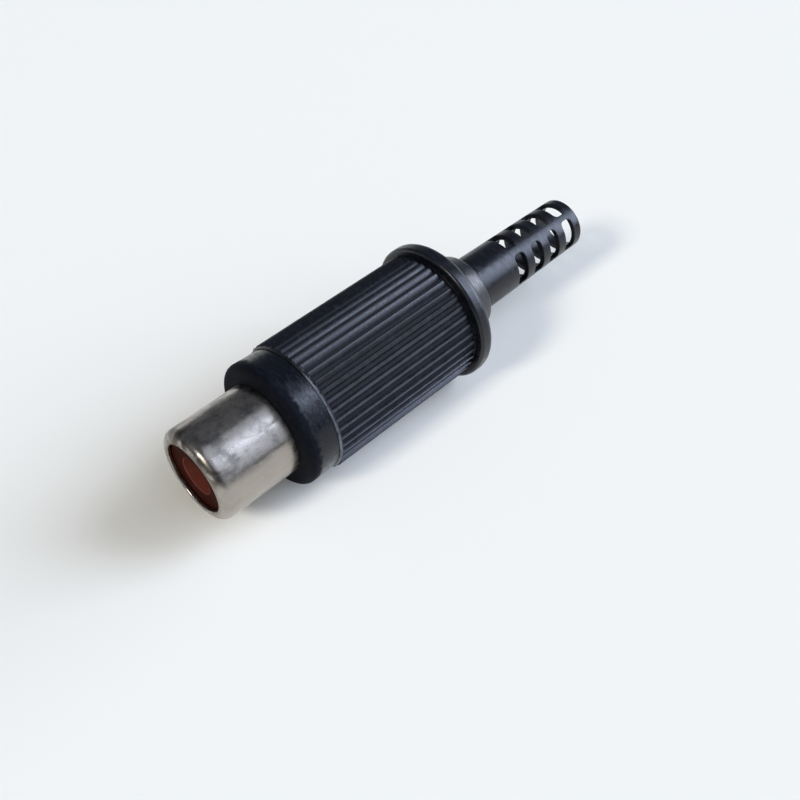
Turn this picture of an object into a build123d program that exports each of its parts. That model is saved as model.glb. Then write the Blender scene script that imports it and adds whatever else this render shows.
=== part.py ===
"""In-line phono socket: plated barrel, collar, and a ribbed cover with a slotted bend-relief tail.

Millimetres. The axis lies along X at y = z = 0, and +Z is up as the socket lies on a table. x = 0 is the
collar's front face, where a plug's shell stops: the mouth points to -X and the cable leaves at +X.
"""

import os
from math import asin, cos, degrees, radians, sin, sqrt

from build123d import *

# Fits
press_clearance = 0.03       # between pieces that are pressed together
thread_clearance = 0.05      # between the collar's spigot and the cover that screws on it
lip_clearance = 0.1          # between the insulator's front rim and the lip's bend
tag_clearance = 0.1          # between the ground tag's corners and the cover's bore
pin_clearance = 0.05         # between the insulator's front hole and the contact's bore

# Barrel, drawn from plated sheet
barrel_radius = 4.15         # outside, the size that a plug's shell slides over
barrel_reach = 7.3           # bare length in front of the collar
barrel_sheet = 0.4
lip_bend = 0.85              # outer radius of the lip's bend
lip_reach = 1.02             # how far the lip turns in from the barrel's outside
neck_radius = 3.2            # outside of the narrow rear end that passes through the spigot
peen_reach = 0.35            # how far the rear edge is turned out over the ground tag

# Centre contact
pin_radius = 1.6             # bore for the plug's centre pin
pin_depth = 14.8             # from the insulator's face to the bottom of the bore
contact_wall = 0.4
contact_recess = 1.2         # from the insulator's face to the contact's front edge
contact_flange_reach = 0.4
contact_flange_thickness = 0.4
contact_bottom = 0.6
slit_width = 0.4
slit_length = 6.4
cup_radius = 1.5             # solder cup at the rear end
cup_wall = 0.45
cup_length = 3.2
cup_cut_length = 2.4         # how much of the cup is open at its top

# Insulator
insulator_length = 12.6

# Collar
collar_radius = 5.72         # at its front edge
collar_draft = 0.12          # lost from the radius towards the cover
collar_length = 2.95
collar_round = 0.6           # rounding of the front edge
collar_bevel = 0.12          # bevel of the rear edge
spigot_length = 4.0

# Ground tag, stamped from sheet
tag_sheet = 0.4
tongue_width = 3.0
tongue_length = 5.0          # straight run behind the ring
tongue_joggle = 2.0          # length of the slope down to the clamp
clamp_length = 3.5
clamp_wing_height = 1.6      # how far the wings stand above the axis

# Cover: sleeve, flange, shoulder and tail in one moulding
sleeve_radius = 5.89         # over the ribs
sleeve_length = 15.5
sleeve_wall = 0.62           # under the grooves
rib_run_out = 0.3            # length of the slope at the ribs' rear ends
rib_count = 42
groove_depth = 0.32
groove_mouth = 0.4
groove_root = 0.18
band_length = 0.25           # plain band between the ribs' ends and the flange
flange_radius = 6.45
flange_thickness = 1.45
flange_front_bevel = 0.2
flange_rear_bevel = 0.45
shoulder_root_radius = 4.7
shoulder_end_radius = 3.48
shoulder_length = 3.0
shoulder_bevel = 0.35
tail_root_radius = 2.66
tail_end_radius = 2.44
tail_length = 13.9
tail_bevel = 0.15
cable_radius = 2.05          # bore of the tail
funnel_length = 2.6          # cone inside, from the sleeve's cavity to the bore
end_wall = 1.2               # from the end of the cavity to the flange's rear face

# Slots of the bend relief
slot_rows = 4
slot_columns = 4
slot_width = 1.25            # along the axis
slot_pitch = 2.26
slot_end_ring = 1.03         # plain ring behind the last row
bridge_width = 0.62          # strip left between two slots of a row
bridge_angle = 28.0          # of one strip, from +Z towards -Y

# Stations along the axis
mouth_x = -barrel_reach
insulator_face_x = mouth_x + barrel_sheet
insulator_step_x = -barrel_sheet - press_clearance
insulator_end_x = insulator_face_x + insulator_length
contact_front_x = insulator_face_x + contact_recess
cover_front_x = collar_length
spigot_end_x = cover_front_x + spigot_length
tag_end_x = spigot_end_x + tag_sheet
barrel_end_x = tag_end_x + barrel_sheet
contact_flange_x = insulator_end_x + contact_flange_thickness
contact_end_x = insulator_face_x + pin_depth + contact_bottom
ribs_end_x = cover_front_x + sleeve_length
flange_front_x = ribs_end_x + band_length
flange_rear_x = flange_front_x + flange_thickness
cavity_end_x = flange_rear_x - end_wall
shoulder_end_x = flange_rear_x + shoulder_length
tail_end_x = shoulder_end_x + tail_length

# Radii that follow from the fits
mouth_radius = barrel_radius - lip_reach
barrel_bore = barrel_radius - barrel_sheet
neck_bore = neck_radius - barrel_sheet
insulator_radius = barrel_bore - press_clearance
insulator_bevel = lip_bend - barrel_sheet + lip_clearance
insulator_neck_radius = neck_bore - press_clearance
contact_radius = pin_radius + contact_wall
core_radius = sleeve_radius - groove_depth
cover_bore = core_radius - sleeve_wall
spigot_radius = cover_bore - thread_clearance
spigot_bore = neck_radius + press_clearance

# Barrel: lip, full-size tube, step against the collar, and narrow neck with its peened edge
with BuildPart() as barrel:
    with BuildSketch(Plane.XZ):
        with BuildLine():
            lip_edge = Line((insulator_face_x, mouth_radius), (mouth_x, mouth_radius))
            lip_face = Line(lip_edge @ 1, (mouth_x, barrel_radius - lip_bend))
            lip_outside = RadiusArc(lip_face @ 1, (mouth_x + lip_bend, barrel_radius), lip_bend)
            Polyline(
                lip_outside @ 1,
                (0, barrel_radius),
                (0, neck_radius),
                (tag_end_x, neck_radius),
                (tag_end_x, neck_radius + peen_reach),
                (barrel_end_x, neck_radius + peen_reach),
                (barrel_end_x, neck_bore),
                (-barrel_sheet, neck_bore),
                (-barrel_sheet, barrel_bore),
                (mouth_x + lip_bend, barrel_bore),
                (insulator_face_x, barrel_radius - lip_bend),
                lip_edge @ 0,
            )
        make_face()
    revolve(axis=Axis.X)

# Insulator: fills the barrel, with a front hole for the pin and a wider bore for the contact
with BuildPart() as socket_insulator:
    with BuildSketch(Plane.XZ):
        with BuildLine():
            Polyline(
                (insulator_face_x, pin_radius + pin_clearance),
                (insulator_face_x, insulator_radius),
                (insulator_step_x, insulator_radius),
                (insulator_step_x, insulator_neck_radius),
                (insulator_end_x, insulator_neck_radius),
                (insulator_end_x, contact_radius + press_clearance),
                (contact_front_x, contact_radius + press_clearance),
                (contact_front_x, pin_radius + pin_clearance),
                close=True,
            )
        make_face()
        front_rim = vertices().group_by(Axis.X)[0].sort_by(Axis.Y)[-1]
        chamfer(front_rim, insulator_bevel)
    revolve(axis=Axis.X)

# Centre contact: split spring sleeve, flange against the insulator, solder cup
with BuildPart() as centre_contact:
    with BuildSketch(Plane.XZ):
        with BuildLine():
            Polyline(
                (contact_front_x, pin_radius),
                (contact_front_x, contact_radius),
                (insulator_end_x, contact_radius),
                (insulator_end_x, contact_radius + contact_flange_reach),
                (contact_flange_x, contact_radius + contact_flange_reach),
                (contact_flange_x, contact_radius),
                (contact_end_x, contact_radius),
                (contact_end_x, cup_radius),
                (contact_end_x + cup_length, cup_radius),
                (contact_end_x + cup_length, cup_radius - cup_wall),
                (contact_end_x, cup_radius - cup_wall),
                (contact_end_x, 0),
                (contact_end_x - contact_bottom, 0),
                (contact_end_x - contact_bottom, pin_radius),
                close=True,
            )
        make_face()
    revolve(axis=Axis.X)
    with BuildSketch(Plane.YZ.offset(contact_front_x)):
        Rectangle(2 * contact_radius, slit_width)
    extrude(amount=slit_length, mode=Mode.SUBTRACT)
    with BuildSketch(Plane.XY):
        with Locations((contact_end_x + cup_length - cup_cut_length, 0)):
            Rectangle(cup_cut_length, 2 * cup_radius, align=(Align.MIN, Align.CENTER))
    extrude(amount=cup_radius, mode=Mode.SUBTRACT)

# Collar: front ring with a drafted outside, and the spigot that the cover screws on
with BuildPart() as collar:
    with BuildSketch(Plane.XZ):
        with BuildLine():
            Polyline(
                (0, spigot_bore),
                (0, collar_radius),
                (cover_front_x, collar_radius - collar_draft),
                (cover_front_x, spigot_radius),
                (spigot_end_x, spigot_radius),
                (spigot_end_x, spigot_bore),
                close=True,
            )
        make_face()
        chamfer(vertices().sort_by(Axis.Y)[-2], collar_bevel)
        fillet(vertices().sort_by(Axis.Y)[-1], collar_round)
    revolve(axis=Axis.X)

# Ground tag: ring under the peened edge, tongue below, joggle, and the open cable clamp
tongue_z = sqrt((cover_bore - tag_clearance) ** 2 - (tongue_width / 2) ** 2)
clamp_inside = cable_radius + press_clearance
clamp_outside = clamp_inside + tag_sheet
joggle_x = tag_end_x + tongue_length
clamp_x = joggle_x + tongue_joggle
with BuildPart() as ground_tag:
    with BuildSketch(Plane.YZ.offset(spigot_end_x)):
        Circle(tongue_z)
        Circle(spigot_bore, mode=Mode.SUBTRACT)
    extrude(amount=tag_sheet)
    with BuildSketch(Plane.XZ):
        with BuildLine():
            Polyline(
                (spigot_end_x, -tongue_z),
                (joggle_x, -tongue_z),
                (clamp_x, -clamp_outside),
                (clamp_x + clamp_length, -clamp_outside),
                (clamp_x + clamp_length, -clamp_inside),
                (clamp_x, -clamp_inside),
                (joggle_x, tag_sheet - tongue_z),
                (spigot_end_x, tag_sheet - tongue_z),
                close=True,
            )
        make_face()
    extrude(amount=tongue_width / 2, both=True)
    with BuildSketch(Plane.YZ.offset(clamp_x)):
        Circle(clamp_outside)
        with Locations((0, clamp_wing_height / 2)):
            Rectangle(2 * clamp_outside, clamp_wing_height)
        Circle(clamp_inside, mode=Mode.SUBTRACT)
        with Locations((0, clamp_outside / 2)):
            Rectangle(2 * clamp_inside, clamp_outside, mode=Mode.SUBTRACT)
    extrude(amount=clamp_length)

# Cover: turned outline first, then the grooves between the ribs and the slots of the tail
with BuildPart() as cover:
    with BuildSketch(Plane.XZ):
        with BuildLine():
            Polyline(
                (cover_front_x, cover_bore),
                (cover_front_x, sleeve_radius),
                (ribs_end_x - rib_run_out, sleeve_radius),
                (ribs_end_x, core_radius),
                (flange_front_x, core_radius),
                (flange_front_x, flange_radius),
                (flange_rear_x, flange_radius),
                (flange_rear_x, shoulder_root_radius),
                (shoulder_end_x, shoulder_end_radius),
                (shoulder_end_x, tail_root_radius),
                (tail_end_x, tail_end_radius),
                (tail_end_x, cable_radius),
                (cavity_end_x + funnel_length, cable_radius),
                (cavity_end_x, cover_bore),
                close=True,
            )
        make_face()
        chamfer(vertices().group_by(Axis.X)[-2].sort_by(Axis.Y)[-1], shoulder_bevel)
        chamfer(vertices().group_by(Axis.X)[-1].sort_by(Axis.Y)[-1], tail_bevel)
        chamfer(vertices().group_by(Axis.Y)[-1].sort_by(Axis.X)[0], flange_front_bevel)
        chamfer(vertices().group_by(Axis.Y)[-1].sort_by(Axis.X)[-1], flange_rear_bevel)
    revolve(axis=Axis.X)

    groove_slope = (groove_mouth - groove_root) / groove_depth
    groove_top = sleeve_radius + groove_depth
    groove_top_width = groove_mouth + groove_slope * groove_depth
    groove_outline = [
        (core_radius, -groove_root / 2),
        (groove_top, -groove_top_width / 2),
        (groove_top, groove_top_width / 2),
        (core_radius, groove_root / 2),
    ]
    with BuildSketch(Plane.YZ.offset(cover_front_x)):
        with PolarLocations(0, rib_count, start_angle=90):
            Polygon(groove_outline, align=None)
    extrude(amount=ribs_end_x - cover_front_x, mode=Mode.SUBTRACT)

    # a slot's chord on the outside of the tail's end is what two half bridges leave of its share of the turn
    bridge_half_angle = degrees(asin(bridge_width / 2 / tail_end_radius))
    slot_half_angle = 180 / slot_columns - bridge_half_angle
    slot_span = 2 * tail_end_radius * sin(radians(slot_half_angle))
    slot_planes = []
    for row in range(slot_rows):
        slot_x = tail_end_x - slot_end_ring - slot_width / 2 - row * slot_pitch
        for column in range(slot_columns):
            slot_angle = radians(bridge_angle + (column + 0.5) * 360 / slot_columns)
            outward = (0, -sin(slot_angle), cos(slot_angle))
            slot_planes.append(Plane(origin=(slot_x, 0, 0), x_dir=(1, 0, 0), z_dir=outward))
    with BuildSketch(*slot_planes):
        Rectangle(slot_width, slot_span)
    extrude(amount=shoulder_end_radius, mode=Mode.SUBTRACT)

pieces = {
    "barrel": barrel,
    "socket_insulator": socket_insulator,
    "centre_contact": centre_contact,
    "collar": collar,
    "ground_tag": ground_tag,
    "cover": cover,
}
os.makedirs("parts", exist_ok=True)
for piece_name, piece in pieces.items():
    piece.part.label = piece_name
    export_step(piece.part, f"parts/{piece_name}.step")
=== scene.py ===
"""Looks of an in-line phono socket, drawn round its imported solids.

Lengths in the classes are millimetres and become metres as points are made. The axis lies along X with the
mouth towards -X, and an angle round the axis runs from +Z towards -Y.
"""

import logging
import math
from dataclasses import dataclass
from enum import Enum

import bmesh
import bpy
import numpy as np
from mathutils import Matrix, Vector


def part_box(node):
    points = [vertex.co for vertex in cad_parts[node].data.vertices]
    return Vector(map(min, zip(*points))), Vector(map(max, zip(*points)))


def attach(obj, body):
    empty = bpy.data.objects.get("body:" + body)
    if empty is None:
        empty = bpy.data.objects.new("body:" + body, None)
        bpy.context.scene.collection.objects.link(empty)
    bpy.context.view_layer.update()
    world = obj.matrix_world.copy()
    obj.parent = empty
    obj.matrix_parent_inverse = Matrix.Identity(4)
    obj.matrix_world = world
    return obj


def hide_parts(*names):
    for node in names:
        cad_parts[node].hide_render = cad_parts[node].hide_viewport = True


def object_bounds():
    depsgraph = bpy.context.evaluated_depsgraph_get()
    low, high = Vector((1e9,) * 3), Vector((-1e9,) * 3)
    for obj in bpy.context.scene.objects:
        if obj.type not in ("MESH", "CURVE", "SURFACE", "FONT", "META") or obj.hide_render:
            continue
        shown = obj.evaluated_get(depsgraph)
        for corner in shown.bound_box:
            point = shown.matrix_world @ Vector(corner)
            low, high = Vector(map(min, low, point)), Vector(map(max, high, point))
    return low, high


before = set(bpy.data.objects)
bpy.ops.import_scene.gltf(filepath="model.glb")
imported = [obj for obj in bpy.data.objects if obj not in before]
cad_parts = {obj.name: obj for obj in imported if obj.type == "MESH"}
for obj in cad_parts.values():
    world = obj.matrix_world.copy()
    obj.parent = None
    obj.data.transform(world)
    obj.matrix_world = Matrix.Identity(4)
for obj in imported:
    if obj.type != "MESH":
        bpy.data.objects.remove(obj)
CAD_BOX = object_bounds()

Piece = bpy.types.Object
Material = bpy.types.Material
Tree = bpy.types.NodeTree
Socket = bpy.types.NodeSocket
Size = tuple[float, float, float]
Span = tuple[float, float]

LOG = logging.getLogger("phono_socket")
MM = 0.001
BODY = "root"
FULL_TURN = 2.0 * math.pi
QUARTER_TURN = math.pi / 2.0
WELD_MM = 0.001          # points of neighbouring patches closer than this are one point
GUARD_MM = 0.03          # straight stretch that is kept flat beside every rounded corner
SHARP_DEG = 50.0         # edges that turn more than this stay sharp
ARC_STEPS = 9            # points on each rounded corner
ACROSS_AXIS = (0.0, 1.0, 1.0)
GROOVE_SIDE_ROWS = np.array([-0.35, 0.0, 0.12, 0.26, 0.42, 0.6, 0.8, 1.0])   # shares of a side's width
BEHIND_RIM_ROWS = np.array([0.04, 0.08, 0.12, 0.16, 0.2])    # millimetres behind the front rim
SMOOTH = {"interpolation_type": "SMOOTHSTEP"}
COLOURS = {"data_type": "RGBA"}
SHARE, FIRST, SECOND, MIXED = 0, 6, 7, 2     # inputs and the output of a node that mixes colours


class Node(Enum):
    """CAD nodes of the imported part."""

    BARREL = "barrel"
    INSULATOR = "socket_insulator"
    CONTACT = "centre_contact"
    TAG = "ground_tag"
    COLLAR = "collar"
    COVER = "cover"


class Slot(Enum):
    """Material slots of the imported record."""

    NICKEL = "nickel_plate"
    INSERT = "insert_plastic"
    COLLAR = "collar_plastic"
    COVER = "cover_plastic"


def linear(colour: str) -> tuple[float, float, float, float]:
    """Turns an sRGB hex colour into the linear one that shaders take, by the standard's curve.

    Args:
        colour: the colour as "#rrggbb".

    Returns:
        Linear red, green and blue, and a full alpha.
    """
    value = np.array([int(colour[i:i + 2], 16) for i in (1, 3, 5)]) / 255.0
    lit = np.where(value <= 0.04045, value / 12.92, ((value + 0.055) / 1.055) ** 2.4)
    return (*lit.tolist(), 1.0)


def box_mm(node: Node) -> tuple[np.ndarray, np.ndarray]:
    """Lowest and highest corner of a CAD node, in millimetres."""
    low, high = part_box(node.value)
    return np.array(low) / MM, np.array(high) / MM


def round_axis(x: np.ndarray, radius: np.ndarray, angle: np.ndarray) -> np.ndarray:
    """Points at a station, a radius and an angle: y is -r sin(angle) and z is r cos(angle).

    Args:
        x: stations along the axis, in millimetres.
        radius: distances from the axis, in millimetres.
        angle: turns from +Z towards -Y, in radians.

    Returns:
        Points in metres, with one more dimension than the broadcast arguments.
    """
    x, radius, angle = np.broadcast_arrays(x, radius, angle)
    return np.stack([x, -radius * np.sin(angle), radius * np.cos(angle)], axis=-1) * MM


def rounded_path(corners: list[Span], radii: list[float], closed: bool) -> np.ndarray:
    """A polyline whose corners are turned into arcs.

    An arc of radius r leaves the sides at r / tan(half angle) from the corner, and its centre lies on the
    bisector at r / sin(half angle). One more point beside each end of an arc keeps the straight sides flat.

    Args:
        corners: the corners as (station, radius) pairs.
        radii: rounding of each corner, or of each inner one where the path is open.
        closed: whether the last corner joins the first.

    Returns:
        The points of the rounded path, as rows of (station, radius).
    """
    corner = np.array(corners, float)
    middle = corner if closed else corner[1:-1]
    before = np.roll(corner, 1, axis=0) if closed else corner[:-2]
    after = np.roll(corner, -1, axis=0) if closed else corner[2:]
    radius = np.array(radii, float)[:, None]
    back = (before - middle) / np.linalg.norm(before - middle, axis=1, keepdims=True)
    ahead = (after - middle) / np.linalg.norm(after - middle, axis=1, keepdims=True)
    half = np.arccos(np.clip((back * ahead).sum(axis=1, keepdims=True), -1.0, 1.0)) / 2.0
    bisector = (back + ahead) / np.linalg.norm(back + ahead, axis=1, keepdims=True)
    centre = middle + bisector * radius / np.sin(half)
    start = middle + back * radius / np.tan(half)
    end = middle + ahead * radius / np.tan(half)
    sweep = np.pi - 2.0 * half
    across = start - centre
    along = (end - centre - across * np.cos(sweep)) / np.sin(sweep)
    turn = sweep[:, None] * np.linspace(0.0, 1.0, ARC_STEPS)[None, :, None]
    arcs = centre[:, None] + across[:, None] * np.cos(turn) + along[:, None] * np.sin(turn)
    guards = start + back * GUARD_MM, end + ahead * GUARD_MM
    path = np.concatenate([guards[0][:, None], arcs, guards[1][:, None]], axis=1).reshape(-1, 2)
    return path if closed else np.concatenate([corner[:1], path, corner[-1:]])


def even_turn(columns: int) -> np.ndarray:
    """Angles of evenly spaced columns round the axis."""
    return np.arange(columns) * FULL_TURN / columns


def smooth_step(share: np.ndarray) -> np.ndarray:
    """Smooth rise of a share from 0 to 1: its square times the difference of three and twice the share."""
    step = np.clip(share, 0.0, 1.0)
    return step * step * (3.0 - 2.0 * step)


class Skin:
    """Points and faces of one closed surface, gathered patch by patch and welded where patches meet."""

    def __init__(self) -> None:
        """Starts with nothing."""
        self._points: list[np.ndarray] = []
        self._faces: list[list[list[int]]] = []
        self._count = 0

    def _append(self, points: np.ndarray, faces: np.ndarray) -> None:
        """Keeps one patch, with its faces counted on from what is there.

        Args:
            points: the patch's points.
            faces: rows of numbers of those points.
        """
        self._points.append(points.reshape(-1, 3))
        self._faces.append((faces + self._count).tolist())
        self._count += points.size // 3

    def add_grid(self, points: np.ndarray, round_rows: bool = False, round_columns: bool = False) -> None:
        """Adds a patch of quads.

        Args:
            points: rows by columns of points.
            round_rows: whether the last row joins the first.
            round_columns: whether the last column joins the first.
        """
        rows, columns = points.shape[:2]
        index = np.arange(rows * columns).reshape(rows, columns)
        if round_rows:
            index = np.concatenate([index, index[:1]])
        if round_columns:
            index = np.concatenate([index, index[:, :1]], axis=1)
        quads = np.stack([index[:-1, :-1], index[1:, :-1], index[1:, 1:], index[:-1, 1:]], axis=-1)
        self._append(points, quads.reshape(-1, 4))

    def add_seam(self, first: np.ndarray, second: np.ndarray,
                 first_turn: np.ndarray, second_turn: np.ndarray) -> None:
        """Joins two rings with different columns by triangles.

        Each edge of a ring takes the other ring's point that is nearest to its middle in angle.

        Args:
            first: points of one ring.
            second: points of the other ring.
            first_turn: rising angles of the first ring's points, over one turn.
            second_turn: rising angles of the second ring's points, from about the same start.
        """
        count, other = len(first_turn), len(second_turn)
        first_middle = (first_turn + np.append(first_turn[1:], first_turn[0] + FULL_TURN)) / 2.0
        second_middle = (second_turn + np.append(second_turn[1:], second_turn[0] + FULL_TURN)) / 2.0
        edge, other_edge = np.arange(count), np.arange(other)
        apex = np.searchsorted(second_middle, first_middle) % other + count
        other_apex = np.searchsorted(first_middle, second_middle) % count
        faces = np.stack([edge, (edge + 1) % count, apex], axis=1)
        other_faces = np.stack([other_edge + count, other_apex, (other_edge + 1) % other + count], axis=1)
        self._append(np.concatenate([first, second]), np.concatenate([faces, other_faces]))

    def build(self, name: str) -> Piece:
        """Makes the object, with patches welded, faces turned outwards and smooth shading.

        Args:
            name: name of the object and of its mesh.

        Returns:
            The object, linked to the scene.
        """
        mesh = bpy.data.meshes.new(name)
        faces = [face for patch in self._faces for face in patch]
        mesh.from_pydata(np.concatenate(self._points).tolist(), [], faces)
        shape = bmesh.new()
        shape.from_mesh(mesh)
        bmesh.ops.remove_doubles(shape, verts=shape.verts, dist=WELD_MM * MM)
        bmesh.ops.recalc_face_normals(shape, faces=shape.faces)
        shape.to_mesh(mesh)
        shape.free()
        mesh.shade_smooth()
        mesh.set_sharp_from_angle(angle=math.radians(SHARP_DEG))
        piece = bpy.data.objects.new(name, mesh)
        bpy.context.scene.collection.objects.link(piece)
        return piece


@dataclass(frozen=True)
class Pattern:
    """A cloudy pattern whose cells have a real size."""

    cell_mm: Size
    detail: float = 2.0
    roughness: float = 0.5
    distortion: float = 0.0

    def scale(self) -> Size:
        """Scale that turns metres into a count of cells."""
        return tuple(1.0 / (cell * MM) for cell in self.cell_mm)


def add_node(tree: Tree, kind: str, settings: dict | None = None,
             inputs: dict | None = None) -> bpy.types.Node:
    """Adds one node with its settings and its links.

    Args:
        tree: the node tree that takes it.
        kind: the node's type.
        settings: properties of the node by name.
        inputs: values by input name or number; a socket of another node is linked.

    Returns:
        The new node.
    """
    made = tree.nodes.new(kind)
    for name, value in (settings or {}).items():
        setattr(made, name, value)
    for key, value in (inputs or {}).items():
        if isinstance(value, Socket):
            tree.links.new(value, made.inputs[key])
        else:
            made.inputs[key].default_value = value
    return made


def start_material(name: str, *patterns: Pattern) -> tuple[Material, Tree, Socket, list[Socket]]:
    """Starts a material with its patterns on object coordinates.

    Args:
        name: the material's name.
        patterns: the patterns that it uses.

    Returns:
        The material, its node tree, the object coordinates, and the value of each pattern.
    """
    material = bpy.data.materials.new(name)
    material.use_nodes = True
    tree = material.node_tree
    tree.nodes.clear()
    place = add_node(tree, "ShaderNodeTexCoord").outputs["Object"]
    values = []
    for pattern in patterns:
        cells = add_node(tree, "ShaderNodeMapping", inputs={"Vector": place, "Scale": pattern.scale()})
        noise = add_node(tree, "ShaderNodeTexNoise", inputs={
            "Vector": cells.outputs["Vector"], "Scale": 1.0, "Detail": pattern.detail,
            "Roughness": pattern.roughness, "Distortion": pattern.distortion})
        values.append(noise.outputs["Fac"])
    return material, tree, place, values


@dataclass(frozen=True)
class NickelPlate:
    """Bright nickel on brass, dulled by handling: warm grey with cloudy patches, smears and hairlines.

    A span gives the values of a pattern between which its mark goes from none to full.
    """

    name: str = "nickel_plate_worn"
    bright: str = "#ada59c"
    cloudy: str = "#7f7a74"
    tarnish: str = "#5c554d"
    cloud_mm: Size = (1.2, 1.2, 1.2)
    cloud_span: Span = (0.42, 0.68)
    smear_mm: Size = (3.2, 0.9, 0.9)
    stain_span: Span = (0.58, 0.84)
    dull_span: Span = (0.35, 0.75)
    smooth: float = 0.22
    dull: float = 0.42
    hairline_mm: Size = (2.6, 0.09, 0.09)    # wider than real ones of about 0.02, so that they show
    hairline_depth: float = 0.02
    hairline_strength: float = 0.06
    dent_mm: Size = (2.6, 2.6, 2.6)
    dent_depth: float = 0.12
    dent_strength: float = 0.18
    lip_mm: float = 2.2          # tarnish gathers over this length behind the mouth
    lip_stain: float = 0.2
    marks_from_height: float = 1.2     # height over the axis below which the marks fall to their least share
    marks_full_height: float = 2.8
    low_marks_share: float = 0.12    # share of the marks that is left below that height

    def material(self, mouth_x: float) -> Material:
        """Builds the metal, with more tarnish behind the lip.

        Args:
            mouth_x: station of the barrel's mouth, in millimetres.

        Returns:
            The metal's material.
        """
        material, tree, place, (cloud, smear, hairline, dent) = start_material(
            self.name,
            Pattern(self.cloud_mm, detail=4.0, roughness=0.6),
            Pattern(self.smear_mm, detail=5.0, distortion=0.6),
            Pattern(self.hairline_mm),
            Pattern(self.dent_mm, detail=1.0))
        split = add_node(tree, "ShaderNodeSeparateXYZ", inputs={"Vector": place})
        near_lip = add_node(tree, "ShaderNodeMapRange", SMOOTH, {
            "Value": split.outputs["X"], "From Min": (mouth_x + self.lip_mm) * MM, "From Max": mouth_x * MM,
            "To Max": self.lip_stain}).outputs["Result"]
        upper_side = add_node(tree, "ShaderNodeMapRange", SMOOTH, {
            "Value": split.outputs["Z"], "From Min": self.marks_from_height * MM, "From Max": self.marks_full_height * MM,
            "To Min": self.low_marks_share}).outputs["Result"]
        clouded = add_node(tree, "ShaderNodeMapRange", SMOOTH, {
            "Value": cloud, "From Min": self.cloud_span[0], "From Max": self.cloud_span[1],
            "To Max": upper_side}).outputs["Result"]
        colour = add_node(tree, "ShaderNodeMix", COLOURS, {
            SHARE: clouded, FIRST: linear(self.bright), SECOND: linear(self.cloudy)}).outputs[MIXED]
        stain = add_node(tree, "ShaderNodeMath", {"operation": "ADD"}, {
            0: smear, 1: near_lip}).outputs["Value"]
        stained = add_node(tree, "ShaderNodeMapRange", SMOOTH, {
            "Value": stain, "From Min": self.stain_span[0], "From Max": self.stain_span[1],
            "To Max": upper_side}).outputs["Result"]
        colour = add_node(tree, "ShaderNodeMix", COLOURS, {
            SHARE: stained, FIRST: colour, SECOND: linear(self.tarnish)}).outputs[MIXED]
        dullness = add_node(tree, "ShaderNodeMapRange", inputs={
            "Value": smear, "From Min": self.dull_span[0], "From Max": self.dull_span[1],
            "To Min": self.smooth, "To Max": self.dull}).outputs["Result"]
        waves = add_node(tree, "ShaderNodeBump", inputs={
            "Strength": self.dent_strength, "Distance": self.dent_depth * MM,
            "Height": dent}).outputs["Normal"]
        scratched = add_node(tree, "ShaderNodeBump", inputs={
            "Strength": self.hairline_strength, "Distance": self.hairline_depth * MM,
            "Height": hairline, "Normal": waves}).outputs["Normal"]
        shader = add_node(tree, "ShaderNodeBsdfPrincipled", inputs={
            "Base Color": colour, "Metallic": 1.0, "Roughness": dullness, "Normal": scratched})
        add_node(tree, "ShaderNodeOutputMaterial", inputs={"Surface": shader.outputs["BSDF"]})
        return material


@dataclass
class Layers:
    """What the marks on a plastic are drawn from, and the look that they change one after the other."""

    tree: Tree
    station: Socket
    side: Socket
    radius: Socket
    scuff: Socket
    colour: Socket
    dullness: Socket
    sheen: Socket | float


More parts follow.
